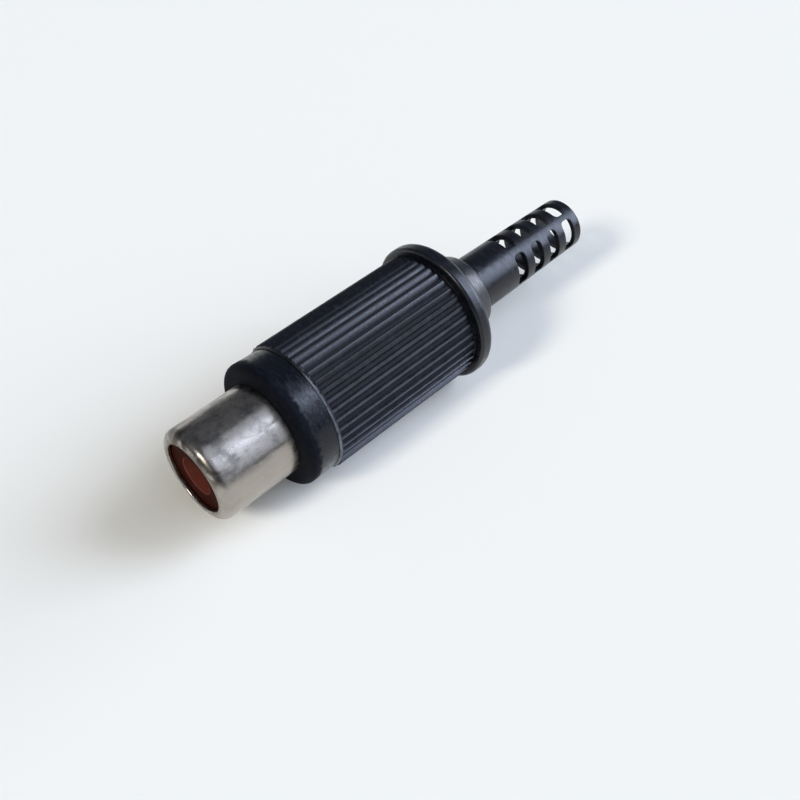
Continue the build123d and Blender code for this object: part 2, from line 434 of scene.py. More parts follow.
@dataclass(frozen=True)
class MouldedPlastic:
    """Moulded plastic: a deep colour under a skin that handling scuffs, with fine grain and painted light and
    shade.

    A span gives the values between which a mark goes from none to full, of a pattern or in millimetres.
    """

    name: str
    colour: str
    worn: str
    smooth: float
    dull: float
    sheen: float                 # share of the surface reflection, where 0.5 is that of a clean skin
    index: float = 1.55
    scuff_mm: Size = (0.9, 0.9, 0.9)
    streak_mm: Size = (0.35, 1.4, 1.4)
    scuff_span: Span = (0.24, 0.40)
    scuff_share: float = 0.5
    dull_span: Span = (0.15, 0.38)
    grain_mm: Size = (0.16, 0.16, 0.16)      # coarser than a real mould's of about 0.05, so that it shows
    grain_depth: float = 0.006
    grain_strength: float = 0.5
    rim_highlight_to: float | None = None           # station up to which a front rim gets a patchy painted highlight
    # pale colour of the rim's painted highlight
    rim_highlight: str = "#838c9b"
    rim_highlight_fade: float = 0.05
    rim_highlight_side: Span = (-1.2, -3.2)         # along Y, so the painted highlight lies on the side towards -Y
    rim_highlight_span: Span = (0.25, 0.6)
    ribs_to: float | None = None             # station up to which ribs have dull grooves and a painted sheen on their crests
    ribs_fade: float = 0.5
    groove_radii: Span = (5.68, 5.6)
    groove_dull: float = 0.8
    crest_radii: Span = (5.64, 5.84)
    crest_side: Span = (-2.6, -5.0)          # along Y, so the painted sheen lies on the side towards -Y
    # colour of the crests' painted sheen
    crest_sheen: str = "#373a43"
    crest_sheen_span: Span = (0.25, 0.55)
    face_shade_radii: Span | None = None                # radii over which painted shade darkens the face outside the pin's hole
    # colour of the face's painted shade
    face_shade: str = "#32120b"
    matt_to: float | None = None             # station up to which the mould left the skin matt
    matt_wander: float = 0.5
    matt_fade: float = 0.2
    matt_dull: float = 0.7
    matt_sheen: float = 0.06

    def material(self) -> Material:
        """Builds the plastic.

        Returns:
            The plastic's material.
        """
        material, tree, place, (scuff, streak, grain) = start_material(
            self.name,
            Pattern(self.scuff_mm, detail=5.0, roughness=0.65),
            Pattern(self.streak_mm, detail=4.0, distortion=0.4),
            Pattern(self.grain_mm))
        wear = add_node(tree, "ShaderNodeMath", {"operation": "MULTIPLY"}, {
            0: scuff, 1: streak}).outputs["Value"]
        worn = add_node(tree, "ShaderNodeMapRange", SMOOTH, {
            "Value": wear, "From Min": self.scuff_span[0], "From Max": self.scuff_span[1],
            "To Max": self.scuff_share}).outputs["Result"]
        colour = add_node(tree, "ShaderNodeMix", COLOURS, {
            SHARE: worn, FIRST: linear(self.colour), SECOND: linear(self.worn)}).outputs[MIXED]
        dullness = add_node(tree, "ShaderNodeMapRange", inputs={
            "Value": wear, "From Min": self.dull_span[0], "From Max": self.dull_span[1],
            "To Min": self.smooth, "To Max": self.dull}).outputs["Result"]
        split = add_node(tree, "ShaderNodeSeparateXYZ", inputs={"Vector": place})
        across = add_node(tree, "ShaderNodeVectorMath", {"operation": "MULTIPLY"}, {
            0: place, 1: ACROSS_AXIS}).outputs["Vector"]
        radius = add_node(tree, "ShaderNodeVectorMath", {"operation": "LENGTH"}, {0: across}).outputs["Value"]
        layers = Layers(tree, split.outputs["X"], split.outputs["Y"], radius, scuff,
                        colour, dullness, self.sheen)
        self._paint_rim_highlight(layers)
        self._dull_grooves_and_sheen_crests(layers)
        self._paint_face_shade(layers)
        self._dull_front(layers)
        bumpy = add_node(tree, "ShaderNodeBump", inputs={
            "Strength": self.grain_strength, "Distance": self.grain_depth * MM,
            "Height": grain}).outputs["Normal"]
        shader = add_node(tree, "ShaderNodeBsdfPrincipled", inputs={
            "Base Color": layers.colour, "Roughness": layers.dullness, "IOR": self.index,
            "Specular IOR Level": layers.sheen, "Normal": bumpy})
        add_node(tree, "ShaderNodeOutputMaterial", inputs={"Surface": shader.outputs["BSDF"]})
        return material

    def _paint_rim_highlight(self, layers: Layers) -> None:
        """Paints a pale highlight in patches on a front rim, on the side towards -Y.

        Args:
            layers: the look so far, which gets a new colour.
        """
        if self.rim_highlight_to is None:
            return
        tree = layers.tree
        outside = add_node(tree, "ShaderNodeMapRange", SMOOTH, {
            "Value": layers.side, "From Min": self.rim_highlight_side[0] * MM,
            "From Max": self.rim_highlight_side[1] * MM}).outputs["Result"]
        # painted highlight on the rim, fading back from its front edge
        pale = add_node(tree, "ShaderNodeMapRange", SMOOTH, {
            "Value": layers.station, "From Min": self.rim_highlight_to * MM,
            "From Max": (self.rim_highlight_to - self.rim_highlight_fade) * MM, "To Max": outside}).outputs["Result"]
        patchy = add_node(tree, "ShaderNodeMapRange", inputs={
            "Value": layers.scuff, "From Min": self.rim_highlight_span[0], "From Max": self.rim_highlight_span[1],
            "To Max": pale}).outputs["Result"]
        layers.colour = add_node(tree, "ShaderNodeMix", COLOURS, {
            SHARE: patchy, FIRST: layers.colour, SECOND: linear(self.rim_highlight)}).outputs[MIXED]

    def _dull_grooves_and_sheen_crests(self, layers: Layers) -> None:
        """Dulls the grooves between ribs, and paints a lighter sheen in patches on the crests, on the side
        towards -Y.

        Args:
            layers: the look so far, which gets a new dullness and colour.
        """
        if self.ribs_to is None:
            return
        tree = layers.tree
        ribbed = add_node(tree, "ShaderNodeMapRange", inputs={
            "Value": layers.station, "From Min": self.ribs_to * MM,
            "From Max": (self.ribs_to - self.ribs_fade) * MM}).outputs["Result"]
        groove = add_node(tree, "ShaderNodeMapRange", SMOOTH, {
            "Value": layers.radius, "From Min": self.groove_radii[0] * MM,
            "From Max": self.groove_radii[1] * MM, "To Max": ribbed}).outputs["Result"]
        layers.dullness = add_node(tree, "ShaderNodeMapRange", inputs={
            "Value": groove, "To Min": layers.dullness, "To Max": self.groove_dull}).outputs["Result"]
        # painted sheen: lighter crests on the side towards -Y
        crest = add_node(tree, "ShaderNodeMapRange", SMOOTH, {
            "Value": layers.radius, "From Min": self.crest_radii[0] * MM,
            "From Max": self.crest_radii[1] * MM, "To Max": ribbed}).outputs["Result"]
        sheened_crest = add_node(tree, "ShaderNodeMapRange", SMOOTH, {
            "Value": layers.side, "From Min": self.crest_side[0] * MM,
            "From Max": self.crest_side[1] * MM, "To Max": crest}).outputs["Result"]
        patchy = add_node(tree, "ShaderNodeMapRange", inputs={
            "Value": layers.scuff, "From Min": self.crest_sheen_span[0], "From Max": self.crest_sheen_span[1],
            "To Max": sheened_crest}).outputs["Result"]
        layers.colour = add_node(tree, "ShaderNodeMix", COLOURS, {
            SHARE: patchy, FIRST: layers.colour, SECOND: linear(self.crest_sheen)}).outputs[MIXED]

    def _paint_face_shade(self, layers: Layers) -> None:
        """Paints shade on the face outside the pin's hole: a darker colour in place of the shade in the
        recess.

        Args:
            layers: the look so far, which gets a new colour.
        """
        if self.face_shade_radii is None:
            return
        # painted shade: the face darkens outside the pin's hole
        face_shaded = add_node(layers.tree, "ShaderNodeMapRange", SMOOTH, {
            "Value": layers.radius, "From Min": self.face_shade_radii[0] * MM,
            "From Max": self.face_shade_radii[1] * MM}).outputs["Result"]
        layers.colour = add_node(layers.tree, "ShaderNodeMix", COLOURS, {
            SHARE: face_shaded, FIRST: layers.colour, SECOND: linear(self.face_shade)}).outputs[MIXED]

    def _dull_front(self, layers: Layers) -> None:
        """Makes the front matt, up to a border that wanders with the scuffs.

        Args:
            layers: the look so far, which gets a new dullness and sheen.
        """
        if self.matt_to is None:
            return
        tree = layers.tree
        wander = add_node(tree, "ShaderNodeMapRange", inputs={
            "Value": layers.scuff, "To Min": -self.matt_wander * MM,
            "To Max": self.matt_wander * MM}).outputs["Result"]
        border = add_node(tree, "ShaderNodeMath", {"operation": "ADD"}, {
            0: layers.station, 1: wander}).outputs["Value"]
        gloss = add_node(tree, "ShaderNodeMapRange", SMOOTH, {
            "Value": border, "From Min": (self.matt_to - self.matt_fade) * MM,
            "From Max": (self.matt_to + self.matt_fade) * MM}).outputs["Result"]
        layers.dullness = add_node(tree, "ShaderNodeMapRange", inputs={
            "Value": gloss, "To Min": self.matt_dull, "To Max": layers.dullness}).outputs["Result"]
        layers.sheen = add_node(tree, "ShaderNodeMapRange", inputs={
            "Value": gloss, "To Min": self.matt_sheen, "To Max": self.sheen}).outputs["Result"]


@dataclass(frozen=True)
class StampedBrass:
    """Bare or tinned brass inside the cover: satin metal with drawn lines and a few dull spots.

    A span gives the values of a pattern between which its mark goes from none to full.
    """

    name: str
    colour: str
    spot: str
    spot_mm: Size = (1.1, 1.1, 1.1)
    spot_span: Span = (0.5, 0.72)
    spot_share: float = 0.8
    dull_span: Span = (0.3, 0.7)
    smooth: float = 0.26
    dull: float = 0.44
    line_mm: Size = (1.8, 0.12, 0.12)        # wider than real ones of about 0.03, so that they show
    line_depth: float = 0.01
    line_strength: float = 0.2

    def material(self) -> Material:
        """Builds the metal.

        Returns:
            The metal's material.
        """
        material, tree, _, (spot, line) = start_material(
            self.name, Pattern(self.spot_mm, detail=4.0), Pattern(self.line_mm))
        spotted = add_node(tree, "ShaderNodeMapRange", SMOOTH, {
            "Value": spot, "From Min": self.spot_span[0], "From Max": self.spot_span[1],
            "To Max": self.spot_share}).outputs["Result"]
        colour = add_node(tree, "ShaderNodeMix", COLOURS, {
            SHARE: spotted, FIRST: linear(self.colour), SECOND: linear(self.spot)}).outputs[MIXED]
        dullness = add_node(tree, "ShaderNodeMapRange", inputs={
            "Value": spot, "From Min": self.dull_span[0], "From Max": self.dull_span[1],
            "To Min": self.smooth, "To Max": self.dull}).outputs["Result"]
        lined = add_node(tree, "ShaderNodeBump", inputs={
            "Strength": self.line_strength, "Distance": self.line_depth * MM,
            "Height": line}).outputs["Normal"]
        shader = add_node(tree, "ShaderNodeBsdfPrincipled", inputs={
            "Base Color": colour, "Metallic": 1.0, "Roughness": dullness, "Normal": lined})
        add_node(tree, "ShaderNodeOutputMaterial", inputs={"Surface": shader.outputs["BSDF"]})
        return material


def settle(piece: Piece, node: Node, material: Material) -> Piece:
    """Dresses a finished piece and puts it on the body in place of its CAD node.

    Args:
        piece: the finished piece.
        node: the CAD node that it stands for.
        material: its finish.

    Returns:
        The same piece.
    """
    piece.data.materials.append(material)
    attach(piece, BODY)
    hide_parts(node.value)
    return piece


def turned_piece(name: str, corners: list[Span], radii: list[float], columns: int) -> Piece:
    """A closed section with rounded corners, carried once round the axis.

    Args:
        name: the piece's name.
        corners: the section's corners as (station, radius) pairs.
        radii: rounding of each corner.
        columns: points round the axis.

    Returns:
        The piece's object.
    """
    section = rounded_path(corners, radii, closed=True)
    points = round_axis(section[:, :1], section[:, 1:], even_turn(columns))
    skin = Skin()
    skin.add_grid(points, round_rows=True, round_columns=True)
    return skin.build(name)


@dataclass
class Barrel:
    """Drawn and plated barrel with a turned-in lip, and the narrow neck that holds the collar."""

    finish: NickelPlate
    sheet: float = 0.4
    lip_bend: float = 0.85
    lip_reach: float = 1.02
    step_x: float = 0.0          # where the barrel narrows to its neck
    neck_radius: float = 3.2
    peen_reach: float = 0.35
    edge: float = 0.05           # rounding of plain sheet edges
    rolled_edge: float = 0.12
    columns: int = 192

    def build(self) -> Piece:
        """Turns the barrel's section, from the lip's edge along the outside and back inside.

        Returns:
            The barrel's object.
        """
        low, high = box_mm(Node.BARREL)
        mouth, rear, radius = low[0], high[0], high[2]
        neck_bore = self.neck_radius - self.sheet
        peen = self.neck_radius + self.peen_reach
        rolled = [
            (mouth + self.sheet, radius - self.lip_reach),
            (mouth, radius - self.lip_reach),
            (mouth, radius),
        ]
        plain = [
            (self.step_x, radius),
            (self.step_x, self.neck_radius),
            (rear - self.sheet, self.neck_radius),
            (rear - self.sheet, peen),
            (rear, peen),
            (rear, neck_bore),
            (self.step_x - self.sheet, neck_bore),
            (self.step_x - self.sheet, radius - self.sheet),
            (mouth + self.lip_bend, radius - self.sheet),
            (mouth + self.sheet, radius - self.lip_bend),
        ]
        radii = [self.rolled_edge, self.rolled_edge, self.lip_bend] + [self.edge] * len(plain)
        return turned_piece("barrel_shell", rolled + plain, radii, self.columns)

    def dress(self, piece: Piece) -> Piece:
        """Plates the barrel."""
        return settle(piece, Node.BARREL, self.finish.material(box_mm(Node.BARREL)[0][0]))


@dataclass
class Insert:
    """Red-brown insulator that fills the barrel, with the hole for the plug's pin."""

    finish: MouldedPlastic
    face_bevel: float = 0.55
    hole_radius: float = 1.65
    bore_radius: float = 2.03
    recess: float = 1.2          # depth of the front hole, before the wider bore for the contact
    neck_radius: float = 2.77
    step_x: float = -0.43
    edge: float = 0.06
    hole_edge: float = 0.08
    columns: int = 144

    def build(self) -> Piece:
        """Turns the insulator's section, from the hole's front edge along the outside and back inside.

        Returns:
            The insert's object.
        """
        low, high = box_mm(Node.INSULATOR)
        face, rear, radius = low[0], high[0], high[2]
        hole_corner = [(face, self.hole_radius)]
        plain = [
            (face, radius - self.face_bevel),
            (face + self.face_bevel, radius),
            (self.step_x, radius),
            (self.step_x, self.neck_radius),
            (rear, self.neck_radius),
            (rear, self.bore_radius),
            (face + self.recess, self.bore_radius),
            (face + self.recess, self.hole_radius),
        ]
        radii = [self.hole_edge] + [self.edge] * len(plain)
        return turned_piece("pin_insert", hole_corner + plain, radii, self.columns)

    def dress(self, piece: Piece) -> Piece:
        """Gives the insert its plastic."""
        return settle(piece, Node.INSULATOR, self.finish.material())


@dataclass
class Collar:
    """Black ring behind the barrel, and its spigot that the cover screws on."""

    finish: MouldedPlastic
    length: float = 2.95
    draft: float = 0.12
    front_round: float = 0.6
    rear_round: float = 0.12
    spigot_radius: float = 4.9
    spigot_bore: float = 3.23
    edge: float = 0.06
    columns: int = 192

    def build(self) -> Piece:
        """Turns the collar's section, from its front face over the ring and the spigot to the bore.

        Returns:
            The collar's object.
        """
        low, high = box_mm(Node.COLLAR)
        front, rear = low[0], high[0]
        radius = high[2] + self.draft * self.front_round / self.length
        corners = [
            (front, self.spigot_bore),
            (front, radius),
            (front + self.length, radius - self.draft),
            (front + self.length, self.spigot_radius),
            (rear, self.spigot_radius),
            (rear, self.spigot_bore),
        ]
        radii = [self.edge, self.front_round, self.rear_round, self.edge, self.edge, self.edge]
        return turned_piece("collar_ring", corners, radii, self.columns)

    def dress(self, piece: Piece) -> Piece:
        """Gives the collar its plastic."""
        return settle(piece, Node.COLLAR, self.finish.material())


@dataclass
class Cover:
    """Screw-on cover in one moulding: ribbed sleeve, flange, shoulder and slotted bend-relief tail."""

    finish: MouldedPlastic
    rib_count: int = 42
    sleeve_length: float = 15.5
    sleeve_radius: float = 5.89
    groove_depth: float = 0.32
    groove_root: float = 0.28
    groove_side: float = 0.1         # width of a groove's side under a rib's high edge
    flank_side: float = 0.09         # width of its other side, where a rib's top runs out
    rib_lean: Span = (16.0, 42.0)    # slope of a rib's round top at its high and its low edge
    rib_start: float = 0.1           # the ribs rise from this far behind the front edge
    rib_front_round: float = 0.18
    rib_run_out: float = 0.3
    run_out_power: float = 2.4       # a higher one keeps the crest level for longer
    rim_height: float = 0.19         # of the front rim over the grooves
    rim_width: float = 0.18
    rim_round: float = 0.12
    rim_fall: float = 0.12           # length over which the rim falls to the grooves
    front_step: float = 0.1          # from the grooves' roots in to the front face's outer ring
    front_seam: float = 0.05         # from that ring in to the bore's columns
    band: float = 0.25
    band_round: float = 0.02
    bore: float = 4.95
    flange_thickness: float = 1.45
    flange_front_round: float = 0.3
    flange_rear_round: float = 0.62
    shoulder_root: float = 4.7
    shoulder_end: float = 3.48
    shoulder_length: float = 3.0
    shoulder_round: float = 0.45
    fillet: float = 0.3
    tail_root: float = 2.66
    tail_end: float = 2.44
    tail_round: float = 0.2
    end_seam: float = 0.02           # on the end face, from the outside's columns to the bore's
    cable_radius: float = 2.05
    end_wall: float = 1.2
    funnel: float = 2.6
    edge: float = 0.08
    slot_rows: int = 4
    slot_columns: int = 4
    slot_width: float = 1.25
    slot_pitch: float = 2.26
    slot_end_ring: float = 1.03
    slot_round: float = 0.4          # corners of a slot's outline
    slot_edge: float = 0.06          # softened edge between a slot and the tail's outside
    bridge_width: float = 0.62
    bridge_angle: float = 28.0
    top_steps: int = 12              # points over a rib, rows along it, and points round a slot
    rim_steps: int = 6
    level_steps: int = 4
    middle_steps: int = 10
    run_out_steps: int = 8
    slot_end_steps: int = 31
    slot_side_steps: int = 13
    slot_corner_steps: int = 7
    slot_edge_steps: int = 5
    slot_border_steps: int = 6
    slot_wall_steps: int = 4

    def __post_init__(self) -> None:
        """Works out the stations and the slots' shared layout from the CAD node's box."""
        low, high = box_mm(Node.COVER)
        self.front_x, self.end_x, self.flange_radius = low[0], high[0], high[2]
        self.core = self.sleeve_radius - self.groove_depth
        self.front_ring = self.core - self.front_step
        self.ribs_end_x = self.front_x + self.sleeve_length
        self.flange_x = self.ribs_end_x + self.band
        self.shoulder_x = self.flange_x + self.flange_thickness
        self.tail_x = self.shoulder_x + self.shoulder_length
        last = self.end_x - self.slot_end_ring - self.slot_width / 2.0
        self.slot_x = last - self.slot_pitch * np.arange(self.slot_rows)[::-1]
        bridge_half = math.asin(self.bridge_width / 2.0 / self.tail_end)
        self.slot_half = self.tail_end * math.sin(math.pi / self.slot_columns - bridge_half)
        self.cell_half = math.pi / self.slot_columns
        first = math.radians(self.bridge_angle) + self.cell_half
        self.slot_turn = first + 2.0 * self.cell_half * np.arange(self.slot_columns)

    def tail_radius(self, x: np.ndarray) -> np.ndarray:
        """Outside radius of the tail, which tapers evenly from its root to its end."""
        taper = self.tail_end - self.tail_root
        return self.tail_root + taper * (x - self.tail_x) / (self.end_x - self.tail_x)

    def split_border(self, reach: float, count: int) -> np.ndarray:
        """Rising places from -1 to 1 with both ends of a middle stretch, and with finer steps outside it."""
        rim = reach + (1.0 - reach) * np.linspace(0.0, 1.0, self.slot_corner_steps)[1:]
        return np.concatenate([-rim[::-1], np.linspace(-reach, reach, count), rim])

    def cell_border(self) -> tuple[np.ndarray, np.ndarray]:
        """Border of one slot's cell, as a loop on the square from -1 to 1 along the axis and round it.

        A slot's wall leaves the bore where it reaches the ridge that it shares with the next slot. The points
        where that happens are on the border, at its ends or at its sides.

        Returns:
            The border across one end (rising round the axis), and the closed loop as (along, round) rows.
        """
        ridge = self.cable_radius * math.sin(self.cell_half)
        straight_along = self.slot_width / 2.0 - self.slot_round
        straight_round = self.slot_half - self.slot_round
        lean = min(max((ridge - straight_round) / self.slot_round, 0.0), 1.0)
        rise = math.sqrt(1.0 - lean * lean)
        at_end = straight_round + self.slot_round * (lean / rise if lean < rise else 0.0)
        at_side = straight_along + self.slot_round * (rise / lean if lean > rise else 0.0)
        across = self.split_border(at_end / self.slot_half, self.slot_end_steps)
        along = self.split_border(at_side / (self.slot_width / 2.0), self.slot_side_steps)
        ends, sides = np.ones_like(across), np.ones_like(along)
        loop = np.concatenate([
            np.stack([ends, across], axis=1)[:-1],
            np.stack([-along, sides], axis=1)[:-1],
            np.stack([-ends, -across], axis=1)[:-1],
            np.stack([along, -sides], axis=1)[:-1],
        ])
        return across, loop

    def slot_outline(self, loop: np.ndarray, spread: float) -> np.ndarray:
        """Rounded outline of a slot: a shrunken rectangle plus a radius in the direction away from it.

        Args:
            loop: rows of (along, round) on the cell's square.
            spread: how far outside the slot the outline lies.

        Returns:
            Rows of (along, across) in millimetres from the slot's middle.
        """
        half = np.array([self.slot_width / 2.0, self.slot_half])
        reach = loop * half
        inner = np.clip(reach, self.slot_round - half, half - self.slot_round)
        away = reach - inner
        return inner + (self.slot_round + spread) * away / np.linalg.norm(away, axis=1, keepdims=True)

    def slot_floor(self, across: np.ndarray) -> np.ndarray:
        """Height where a slot's wall ends: at the cable's bore, or at the edge shared with the next slot."""
        bore = np.sqrt(np.maximum(self.cable_radius ** 2 - across ** 2, 0.0))
        return np.maximum(bore, np.abs(across) / math.tan(self.cell_half))

    def add_slots(self, skin: Skin, loop: np.ndarray) -> None:
        """Adds every slot's cell: the outside round it, its softened edge and its wall down to the bore.

        The outside goes evenly from the cell's border to the slot's edge, the edge is a quarter circle, and
        the wall falls straight from it.

        Args:
            skin: the surface that takes the cells.
            loop: the cell's border, as rows of (along, round).
        """
        rounding = np.linspace(0.0, QUARTER_TURN, self.slot_edge_steps)
        rings = [self.slot_outline(loop, self.slot_edge * (1.0 - math.sin(turn))) for turn in rounding]
        outline = np.stack(rings)
        sunk = self.slot_edge * (1.0 - np.cos(rounding))[:, None]
        blend = np.linspace(1.0, 0.0, self.slot_border_steps)[:, None]
        drop = np.linspace(0.0, 1.0, self.slot_wall_steps)[1:, None]
        for x in self.slot_x:
            stations = x + outline[..., 0]
            height = np.sqrt(self.tail_radius(stations) ** 2 - outline[..., 1] ** 2) - sunk
            border_x = x + loop[:, 0] * self.slot_pitch / 2.0
            border_turn = loop[:, 1] * self.cell_half
            edge_turn = np.arctan2(outline[0, :, 1], height[0])
            patch_x = stations[0] + (border_x - stations[0]) * blend
            patch_turn = edge_turn + (border_turn - edge_turn) * blend
            foot = self.slot_floor(outline[-1, :, 1])
            wall = height[-1] + (foot - height[-1]) * drop
            wall_x = np.broadcast_to(stations[-1], wall.shape)
            wall_across = np.broadcast_to(outline[-1, :, 1], wall.shape)
            rows_x = np.concatenate([patch_x[:-1], stations, wall_x])
            rows_turn = np.concatenate([
                patch_turn[:-1],
                np.arctan2(outline[..., 1], height),
                np.arctan2(wall_across, wall)])
            rows_radius = np.concatenate([
                self.tail_radius(patch_x[:-1]),
                np.hypot(outline[..., 1], height),
                np.hypot(wall_across, wall)])
            for turn in self.slot_turn:
                skin.add_grid(round_axis(rows_x, rows_radius, rows_turn + turn), round_columns=True)

    def rib_section(self) -> tuple[np.ndarray, np.ndarray]:
        """Angles and heights of the ribs round the sleeve.

        A rib's top is an arc whose slope grows from its upper to its lower edge, so its height falls by the
        arc's radius times the difference of the slopes' cosines. Smooth steps of the grooves' sides lead down
        to their roots.

        Returns:
            Rising angles over one turn, and the heights there from 0 in a groove to 1 on a crest.
        """
        pitch = FULL_TURN / self.rib_count
        width = pitch * self.sleeve_radius
        root = self.groove_root / 2.0
        side = root + self.groove_side * GROOVE_SIDE_ROWS
        far_side = width - root - self.flank_side * GROOVE_SIDE_ROWS[::-1]
        top = np.linspace(side[-1], far_side[0], self.top_steps)[1:-1]
        across = np.concatenate([[0.0], side, top, far_side])
        near, far = (across - root) / self.groove_side, (width - root - across) / self.flank_side
        step = smooth_step(np.minimum(near, far))
        high, low = np.sin(np.radians(self.rib_lean))
        slope = high + (low - high) * np.clip((across - side[-1]) / (far_side[0] - side[-1]), 0.0, 1.0)
        radius = (far_side[0] - side[-1]) / (low - high)
        fall = radius * (math.sqrt(1.0 - high ** 2) - np.sqrt(1.0 - slope ** 2))
        height = step * (1.0 - fall / self.groove_depth)
        turn = (across / width + np.arange(self.rib_count)[:, None]) * pitch
        heights = np.broadcast_to(height, turn.shape).ravel()
        turn = turn.ravel()
        shift = int(np.argmin(np.abs(turn - math.radians(self.bridge_angle))))
        return np.roll(np.where(turn < turn[shift], turn + FULL_TURN, turn), -shift), np.roll(heights, -shift)

    def front_rows(self) -> tuple[np.ndarray, np.ndarray, np.ndarray]:
        """Rows of the sleeve's front end.

        The rim's edge is a quarter circle, and behind the rim a smooth step leads down to the grooves. The
        ribs rise behind the edge by the root of (r squared - (r - d) squared) at a distance d, up to their
        full height.

        Returns:
            Stations of the rows, and there the heights of the rim and of the ribs over the grooves.
        """
        back = np.concatenate([
            self.rim_round * (1.0 - np.cos(np.linspace(0.0, QUARTER_TURN, self.rim_steps))),
            np.linspace(self.rim_round, self.rim_width, self.level_steps)[1:],
            self.rim_width + BEHIND_RIM_ROWS])
        turn_in = np.clip(1.0 - back / self.rim_round, 0.0, 1.0)
        rim = self.rim_height - self.rim_round * (1.0 - np.sqrt(1.0 - turn_in ** 2))
        rim = rim * (1.0 - smooth_step((back - self.rim_width) / self.rim_fall))
        turn_in = np.clip(1.0 - (back - self.rib_start) / self.rib_front_round, 0.0, 1.0)
        ribs = self.groove_depth * np.sqrt(1.0 - turn_in ** 2)
        return self.front_x + back, rim, ribs

    def sleeve_points(self) -> tuple[np.ndarray, np.ndarray]:
        """Rings of the ribbed sleeve, from its front face to the band before the flange.

        A ring's radius is the grooves' plus the rib's height times how far the ribs have risen there. At the
        rear the ribs run out by the root of (1 - a power of the distance).

        Returns:
            The rings' points, and the angles of their columns.
        """
        rib_turn, rib_height = self.rib_section()
        start_x, rim, start = self.front_rows()
        run_out = np.linspace(0.0, 1.0, self.run_out_steps)[1:]
        run_out_row = self.rib_run_out / (self.run_out_steps - 1)
        rear_x = self.ribs_end_x - self.rib_run_out * (1.0 - run_out)
        rear_drop = self.groove_depth * (1.0 - np.sqrt(1.0 - run_out ** self.run_out_power))
        middle_x = np.linspace(start_x[-1] + GUARD_MM, rear_x[0] - run_out_row, self.middle_steps)
        band_x = self.flange_x - self.band / 2.0
        sleeve_x = np.concatenate([[self.front_x], start_x, middle_x, rear_x, [band_x]])
        middle = np.full_like(middle_x, self.groove_depth)
        rise = np.concatenate([start, middle, self.groove_depth - rear_drop, [0.0]])
        ribs = rib_height * rise[:, None]
        ribs[:len(rim)] = np.maximum(ribs[:len(rim)], rim[:, None])
        rings = np.concatenate([np.full_like(ribs[:1], self.front_ring), self.core + ribs])
        return round_axis(sleeve_x[:, None], rings, rib_turn), rib_turn

    def outside_points(self, turn: np.ndarray) -> np.ndarray:
        """Rings from the band over the flange and the shoulder to the first slots.

        Args:
            turn: angles of the outside's columns.

        Returns:
            The rings' points: a rounded path carried once round the axis.
        """
        before_slots = self.slot_x[0] - self.slot_pitch / 2.0
        corners = [
            (self.flange_x - self.band / 4.0, self.core),
            (self.flange_x, self.core),
            (self.flange_x, self.flange_radius),
            (self.shoulder_x, self.flange_radius),
            (self.shoulder_x, self.shoulder_root),
            (self.tail_x, self.shoulder_end),
            (self.tail_x, self.tail_root),
            (before_slots, self.tail_radius(before_slots)),
        ]
        radii = [self.band_round, self.flange_front_round, self.flange_rear_round, self.fillet,
                 self.shoulder_round, self.fillet]
        path = rounded_path(corners, radii, closed=False)
        return round_axis(path[:, :1], path[:, 1:], turn)

    def bore_columns(self, loop: np.ndarray) -> tuple[np.ndarray, np.ndarray]:
        """Columns of the cable's bore, which pass through the points where slots cut it.

        Args:
            loop: the cell's border, as rows of (along, round).

        Returns:
            Angles of the columns, and there how far a slot reaches along the axis from its middle.
        """
        outline = self.slot_outline(loop, 0.0)
        on_bore = np.abs(outline[:, 1]) <= self.cable_radius * math.sin(self.cell_half) + WELD_MM
        end = outline[on_bore & (outline[:, 0] > 0.0)]
        end = end[np.argsort(end[:, 1])][:-1]
        turn = (self.slot_turn[:, None] + np.arcsin(end[:, 1] / self.cable_radius)).ravel()
        return turn, np.tile(end[:, 0], self.slot_columns)

    def add_end(self, skin: Skin, outer_turn: np.ndarray, inner_turn: np.ndarray, reach: np.ndarray) -> None:
        """Adds the tail's end: the outside behind the last slots, the end face and the bore's mouth.

        Args:
            skin: the surface that takes the end.
            outer_turn: angles of the outside's columns.
            inner_turn: angles of the bore's columns.
            reach: how far a slot reaches along the axis at the bore's columns.
        """
        after_slots = self.slot_x[-1] + self.slot_pitch / 2.0
        middle = (self.tail_end + self.cable_radius) / 2.0
        end = rounded_path([
            (after_slots, self.tail_radius(after_slots)),
            (self.end_x, self.tail_end),
            (self.end_x, middle),
        ], [self.tail_round], closed=False)
        end_ring = round_axis(end[:, :1], end[:, 1:], outer_turn)
        skin.add_grid(end_ring, round_columns=True)
        mouth = rounded_path([
            (self.end_x, middle - self.end_seam),
            (self.end_x, self.cable_radius),
            (self.slot_x[-1] + self.slot_width, self.cable_radius),
        ], [self.edge], closed=False)
        mouth_ring = round_axis(mouth[:, :1], mouth[:, 1:], inner_turn)
        last_edge = round_axis(self.slot_x[-1] + reach, self.cable_radius, inner_turn)
        skin.add_grid(np.concatenate([mouth_ring, last_edge[None]]), round_columns=True)
        skin.add_seam(end_ring[-1], mouth_ring[0], outer_turn, inner_turn)

    def inside_points(self, turn: np.ndarray, reach: np.ndarray) -> np.ndarray:
        """Rings from the first slots through the funnel and the wide bore to the front face.

        Args:
            turn: angles of the bore's columns.
            reach: how far a slot reaches along the axis at those columns.

        Returns:
            The rings' points: the slots' edge, and a rounded path carried once round the axis.
        """
        cavity_x = self.shoulder_x - self.end_wall
        path = rounded_path([
            (self.slot_x[0] - self.slot_width, self.cable_radius),
            (cavity_x + self.funnel, self.cable_radius),
            (cavity_x, self.bore),
            (self.front_x, self.bore),
            (self.front_x, self.front_ring - self.front_seam),
        ], [self.fillet, self.fillet, self.edge], closed=False)
        first_edge = round_axis(self.slot_x[0] - reach, self.cable_radius, turn)
        return np.concatenate([first_edge[None], round_axis(path[:, :1], path[:, 1:], turn)])

